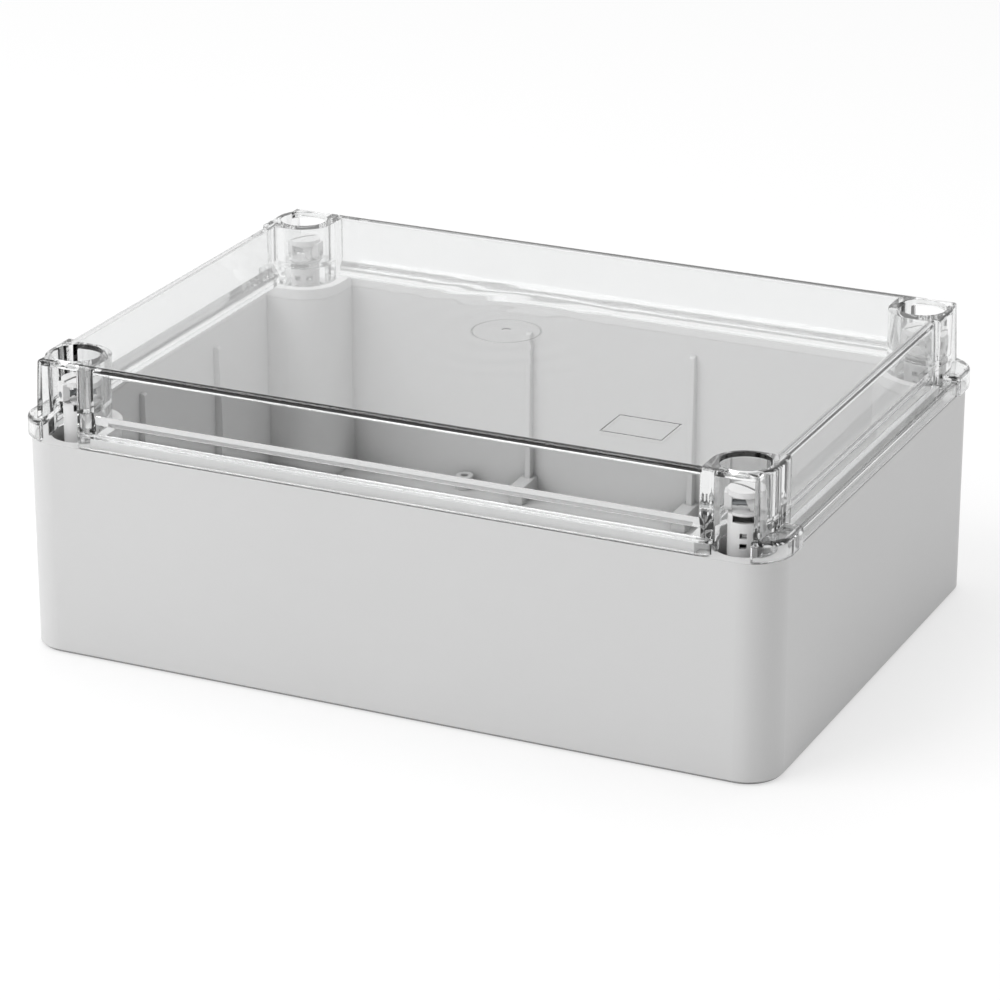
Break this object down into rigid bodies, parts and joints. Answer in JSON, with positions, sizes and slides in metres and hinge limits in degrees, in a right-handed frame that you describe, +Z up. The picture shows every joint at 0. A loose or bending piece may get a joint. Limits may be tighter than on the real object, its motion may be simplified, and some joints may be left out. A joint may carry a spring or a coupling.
{
  "type": "hinged enclosure",
  "caption": "Deep rectangular plastic enclosure with a clear lid that swings up on captive quarter-turn hinge screws, blank walls and plate bosses inside.",
  "frame": {"origin": "middle of the underside of the base, on the surface it stands on", "axes": "+X along the long side, +Y towards the side that carries the hinge screws in use, +Z up through the lid"},
  "size_m": [0.3192, 0.2232, 0.121],
  "materials": {
    "grey_plastic": "light grey, fine satin moulded plastic",
    "clear_lid": "clear polycarbonate, polished",
    "seal": "off-white foam rubber",
    "screw_plastic": "light grey moulded plastic",
    "steel": "plain steel pin"
  },
  "bodies": {
    "base": {"base_shell": "grey_plastic"},
    "hinge_shanks": {"shank_rr": "screw_plastic", "shank_rl": "screw_plastic"},
    "lid": {"lid": "clear_lid", "gasket": "seal", "head_rr": "screw_plastic", "head_rl": "screw_plastic", "pin_rr": "steel", "pin_rl": "steel"},
    "screw_right": {"head_fr": "screw_plastic", "shank_fr": "screw_plastic", "pin_fr": "steel"},
    "screw_left": {"head_fl": "screw_plastic", "shank_fl": "screw_plastic", "pin_fl": "steel"}
  },
  "joints": [
    {"name": "lid_lift", "type": "slide", "parent": "base", "child": "hinge_shanks", "axis": [0, 0, 1], "range_m": [0, 0.0275]},
    {"name": "lid_swing", "type": "hinge", "parent": "hinge_shanks", "child": "lid", "pos_m": [0, 0.0952, 0.105], "axis": [-1, 0, 0], "range_deg": [0, 90]},
    {"name": "screw_turn_right", "type": "hinge", "parent": "lid", "child": "screw_right", "pos_m": [0.1396, -0.0952, 0.105], "axis": [0, 0, 1], "range_deg": [0, 90]},
    {"name": "screw_turn_left", "type": "hinge", "parent": "lid", "child": "screw_left", "pos_m": [-0.1396, -0.0952, 0.105], "axis": [0, 0, 1], "range_deg": [0, 90]}
  ],
  "couplings": [
    {"joint": "lid_lift", "follows": "lid_swing", "m_per_rad": 0.0175}
  ]
}
